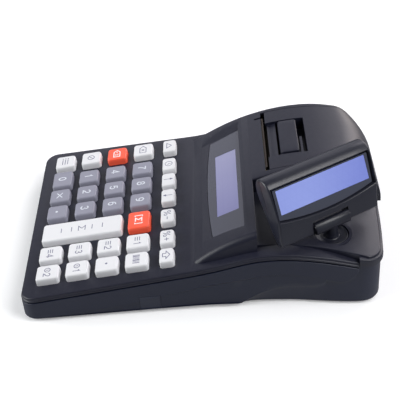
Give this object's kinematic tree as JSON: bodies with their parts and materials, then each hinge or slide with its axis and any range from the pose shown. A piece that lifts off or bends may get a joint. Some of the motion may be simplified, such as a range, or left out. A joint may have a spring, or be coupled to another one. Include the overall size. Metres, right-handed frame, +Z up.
{
  "type": "ticket register",
  "caption": "Compact wedge-shaped ticket register with a keyboard, a recessed operator window, a receipt printer under a hinged cover and a swivelling, tilting customer display.",
  "frame": {"origin": "centre of the footprint, on the surface that the feet stand on", "axes": "+X to the operator's right, +Y from the operator to the customer, +Z up"},
  "size_m": [0.1348, 0.201, 0.0727],
  "materials": {
    "base_shell": "fine matt moulded plastic",
    "top_shell": "fine matt moulded plastic",
    "gloss_shell": "semi-gloss moulded plastic",
    "foot_rubber": "matt rubber",
    "steel": "plated steel",
    "tear_steel": "dull stamped steel",
    "key_mat": "silicone rubber",
    "circuit_board": "solder mask",
    "battery_wrap": "shrink wrap",
    "socket_black": "moulded plastic",
    "window": "polished tinted acrylic",
    "operator_glass": "lavender display glass",
    "customer_glass": "lit blue display glass",
    "ceramic": "glazed ceramic strip",
    "roller_rubber": "ground rubber",
    "gear_plastic": "natural moulded plastic",
    "paper": "smooth thermal paper",
    "key_white": "satin moulded plastic",
    "key_grey": "satin moulded plastic",
    "key_red": "satin moulded plastic"
  },
  "bodies": {
    "case": {"lower_case": "base_shell", "upper_case": "top_shell", "side_port_cover": "base_shell", "rubber_feet": "foot_rubber", "case_screws": "steel", "keypad_mat": "key_mat", "main_board": "circuit_board", "battery_pack": "battery_wrap", "rear_sockets": "socket_black", "operator_lens": "window", "operator_lcd": "operator_glass", "cover_pins": "steel", "tear_bar": "tear_steel", "printer_frame": "steel", "print_head": "ceramic", "stepper_motor": "steel"},
    "cover": {"printer_cover": "top_shell"},
    "lever": {"release_lever": "top_shell"},
    "platen": {"platen_roller": "roller_rubber"},
    "drive": {"drive_gear": "gear_plastic"},
    "roll": {"paper_roll": "paper"},
    "post": {"swivel_post": "gloss_shell"},
    "head": {"head_front_shell": "gloss_shell", "head_rear_shell": "gloss_shell", "head_lens": "window", "head_lcd": "customer_glass", "tilt_pin": "steel"},
    "key_price_lookup": {"key_price_lookup": "key_white"},
    "key_0": {"key_0": "key_grey"},
    "key_multiply": {"key_multiply": "key_grey"},
    "key_point": {"key_point": "key_grey"},
    "key_total": {"key_total": "key_white"},
    "key_dept_4": {"key_dept_4": "key_white"},
    "key_pay_2": {"key_pay_2": "key_white"},
    "key_void": {"key_void": "key_white"},
    "key_1": {"key_1": "key_grey"},
    "key_2": {"key_2": "key_grey"},
    "key_3": {"key_3": "key_grey"},
    "key_dept_3": {"key_dept_3": "key_white"},
    "key_pay_1": {"key_pay_1": "key_white"},
    "key_price": {"key_price": "key_red"},
    "key_4": {"key_4": "key_grey"},
    "key_5": {"key_5": "key_grey"},
    "key_6": {"key_6": "key_grey"},
    "key_dept_2": {"key_dept_2": "key_white"},
    "key_dot": {"key_dot": "key_white"},
    "key_clear": {"key_clear": "key_white"},
    "key_7": {"key_7": "key_grey"},
    "key_8": {"key_8": "key_grey"},
    "key_9": {"key_9": "key_grey"},
    "key_subtotal": {"key_subtotal": "key_red"},
    "key_dept_1": {"key_dept_1": "key_white"},
    "key_barcode": {"key_barcode": "key_white"},
    "key_feed": {"key_feed": "key_white"},
    "key_clock": {"key_clock": "key_white"},
    "key_up": {"key_up": "key_white"},
    "key_down": {"key_down": "key_white"},
    "key_minus_percent": {"key_minus_percent": "key_white"},
    "key_plus_percent": {"key_plus_percent": "key_white"},
    "key_shift": {"key_shift": "key_white"}
  },
  "joints": [
    {"name": "cover_hinge", "type": "hinge", "parent": "case", "child": "cover", "pos_m": [0, 0.096, 0.0299], "axis": [-1, 0, 0], "range_deg": [0, 95]},
    {"name": "lever_lift", "type": "hinge", "parent": "cover", "child": "lever", "pos_m": [-0.0243, 0.0469, 0.04837], "axis": [1, 0, 0], "range_deg": [0, 28], "stiffness_Nm_per_rad": 0.02, "springref_deg": -11.46},
    {"name": "platen_spin", "type": "hinge", "parent": "cover", "child": "platen", "pos_m": [-0.0243, 0.042, 0.0414], "axis": [1, 0, 0], "continuous": true},
    {"name": "drive_spin", "type": "hinge", "parent": "case", "child": "drive", "pos_m": [-0.0496, 0.04147, 0.03131], "axis": [1, 0, 0], "continuous": true},
    {"name": "roll_spin", "type": "hinge", "parent": "case", "child": "roll", "pos_m": [-0.0243, 0.0676, 0.0213], "axis": [1, 0, 0], "continuous": true},
    {"name": "head_swivel", "type": "hinge", "parent": "case", "child": "post", "pos_m": [0.0468, 0.0682, 0.044], "axis": [0, 0, 1], "range_deg": [-60, 60]},
    {"name": "head_tilt", "type": "hinge", "parent": "post", "child": "head", "pos_m": [0.0468, 0.0682, 0.044], "axis": [-0.4985, 0.8669, 0], "range_deg": [-4, 22]},
    {"name": "key_price_lookup_press", "type": "slide", "parent": "case", "child": "key_price_lookup", "axis": [0, 0.1219, -0.9925], "range_m": [0, 0.0022], "stiffness_N_per_m": 200, "springref_m": -0.0015},
    {"name": "key_0_press", "type": "slide", "parent": "case", "child": "key_0", "axis": [0, 0.1219, -0.9925], "range_m": [0, 0.0022], "stiffness_N_per_m": 200, "springref_m": -0.0015},
    {"name": "key_multiply_press", "type": "slide", "parent": "case", "child": "key_multiply", "axis": [0, 0.1219, -0.9925], "range_m": [0, 0.0022], "stiffness_N_per_m": 200, "springref_m": -0.0015},
    {"name": "key_point_press", "type": "slide", "parent": "case", "child": "key_point", "axis": [0, 0.1219, -0.9925], "range_m": [0, 0.0022], "stiffness_N_per_m": 200, "springref_m": -0.0015},
    {"name": "key_total_press", "type": "slide", "parent": "case", "child": "key_total", "axis": [0, 0.1219, -0.9925], "range_m": [0, 0.0022], "stiffness_N_per_m": 400, "springref_m": -0.0015},
    {"name": "key_dept_4_press", "type": "slide", "parent": "case", "child": "key_dept_4", "axis": [0, 0.1219, -0.9925], "range_m": [0, 0.0022], "stiffness_N_per_m": 200, "springref_m": -0.0015},
    {"name": "key_pay_2_press", "type": "slide", "parent": "case", "child": "key_pay_2", "axis": [0, 0.1219, -0.9925], "range_m": [0, 0.0022], "stiffness_N_per_m": 200, "springref_m": -0.0015},
    {"name": "key_void_press", "type": "slide", "parent": "case", "child": "key_void", "axis": [0, 0.1219, -0.9925], "range_m": [0, 0.0022], "stiffness_N_per_m": 200, "springref_m": -0.0015},
    {"name": "key_1_press", "type": "slide", "parent": "case", "child": "key_1", "axis": [0, 0.1219, -0.9925], "range_m": [0, 0.0022], "stiffness_N_per_m": 200, "springref_m": -0.0015},
    {"name": "key_2_press", "type": "slide", "parent": "case", "child": "key_2", "axis": [0, 0.1219, -0.9925], "range_m": [0, 0.0022], "stiffness_N_per_m": 200, "springref_m": -0.0015},
    {"name": "key_3_press", "type": "slide", "parent": "case", "child": "key_3", "axis": [0, 0.1219, -0.9925], "range_m": [0, 0.0022], "stiffness_N_per_m": 200, "springref_m": -0.0015},
    {"name": "key_dept_3_press", "type": "slide", "parent": "case", "child": "key_dept_3", "axis": [0, 0.1219, -0.9925], "range_m": [0, 0.0022], "stiffness_N_per_m": 200, "springref_m": -0.0015},
    {"name": "key_pay_1_press", "type": "slide", "parent": "case", "child": "key_pay_1", "axis": [0, 0.1219, -0.9925], "range_m": [0, 0.0022], "stiffness_N_per_m": 200, "springref_m": -0.0015},
    {"name": "key_price_press", "type": "slide", "parent": "case", "child": "key_price", "axis": [0, 0.1219, -0.9925], "range_m": [0, 0.0022], "stiffness_N_per_m": 200, "springref_m": -0.0015},
    {"name": "key_4_press", "type": "slide", "parent": "case", "child": "key_4", "axis": [0, 0.1219, -0.9925], "range_m": [0, 0.0022], "stiffness_N_per_m": 200, "springref_m": -0.0015},
    {"name": "key_5_press", "type": "slide", "parent": "case", "child": "key_5", "axis": [0, 0.1219, -0.9925], "range_m": [0, 0.0022], "stiffness_N_per_m": 200, "springref_m": -0.0015},
    {"name": "key_6_press", "type": "slide", "parent": "case", "child": "key_6", "axis": [0, 0.1219, -0.9925], "range_m": [0, 0.0022], "stiffness_N_per_m": 200, "springref_m": -0.0015},
    {"name": "key_dept_2_press", "type": "slide", "parent": "case", "child": "key_dept_2", "axis": [0, 0.1219, -0.9925], "range_m": [0, 0.0022], "stiffness_N_per_m": 200, "springref_m": -0.0015},
    {"name": "key_dot_press", "type": "slide", "parent": "case", "child": "key_dot", "axis": [0, 0.1219, -0.9925], "range_m": [0, 0.0022], "stiffness_N_per_m": 200, "springref_m": -0.0015},
    {"name": "key_clear_press", "type": "slide", "parent": "case", "child": "key_clear", "axis": [0, 0.1219, -0.9925], "range_m": [0, 0.0022], "stiffness_N_per_m": 200, "springref_m": -0.0015},
    {"name": "key_7_press", "type": "slide", "parent": "case", "child": "key_7", "axis": [0, 0.1219, -0.9925], "range_m": [0, 0.0022], "stiffness_N_per_m": 200, "springref_m": -0.0015},
    {"name": "key_8_press", "type": "slide", "parent": "case", "child": "key_8", "axis": [0, 0.1219, -0.9925], "range_m": [0, 0.0022], "stiffness_N_per_m": 200, "springref_m": -0.0015},
    {"name": "key_9_press", "type": "slide", "parent": "case", "child": "key_9", "axis": [0, 0.1219, -0.9925], "range_m": [0, 0.0022], "stiffness_N_per_m": 200, "springref_m": -0.0015},
    {"name": "key_subtotal_press", "type": "slide", "parent": "case", "child": "key_subtotal", "axis": [0, 0.1219, -0.9925], "range_m": [0, 0.0022], "stiffness_N_per_m": 200, "springref_m": -0.0015},
    {"name": "key_dept_1_press", "type": "slide", "parent": "case", "child": "key_dept_1", "axis": [0, 0.1219, -0.9925], "range_m": [0, 0.0022], "stiffness_N_per_m": 200, "springref_m": -0.0015},
    {"name": "key_barcode_press", "type": "slide", "parent": "case", "child": "key_barcode", "axis": [0, 0.1219, -0.9925], "range_m": [0, 0.0022], "stiffness_N_per_m": 200, "springref_m": -0.0015},
    {"name": "key_feed_press", "type": "slide", "parent": "case", "child": "key_feed", "axis": [0, 0.1219, -0.9925], "range_m": [0, 0.0022], "stiffness_N_per_m": 200, "springref_m": -0.0015},
    {"name": "key_clock_press", "type": "slide", "parent": "case", "child": "key_clock", "axis": [0, 0.1219, -0.9925], "range_m": [0, 0.0022], "stiffness_N_per_m": 200, "springref_m": -0.0015},
    {"name": "key_up_press", "type": "slide", "parent": "case", "child": "key_up", "axis": [0, 0.1219, -0.9925], "range_m": [0, 0.0022], "stiffness_N_per_m": 200, "springref_m": -0.0015},
    {"name": "key_down_press", "type": "slide", "parent": "case", "child": "key_down", "axis": [0, 0.1219, -0.9925], "range_m": [0, 0.0022], "stiffness_N_per_m": 200, "springref_m": -0.0015},
    {"name": "key_minus_percent_press", "type": "slide", "parent": "case", "child": "key_minus_percent", "axis": [0, 0.1219, -0.9925], "range_m": [0, 0.0022], "stiffness_N_per_m": 200, "springref_m": -0.0015},
    {"name": "key_plus_percent_press", "type": "slide", "parent": "case", "child": "key_plus_percent", "axis": [0, 0.1219, -0.9925], "range_m": [0, 0.0022], "stiffness_N_per_m": 200, "springref_m": -0.0015},
    {"name": "key_shift_press", "type": "slide", "parent": "case", "child": "key_shift", "axis": [0, 0.1219, -0.9925], "range_m": [0, 0.0022], "stiffness_N_per_m": 200, "springref_m": -0.0015}
  ],
  "couplings": [
    {"joint": "drive_spin", "follows": "platen_spin", "ratio": -1}
  ]
}
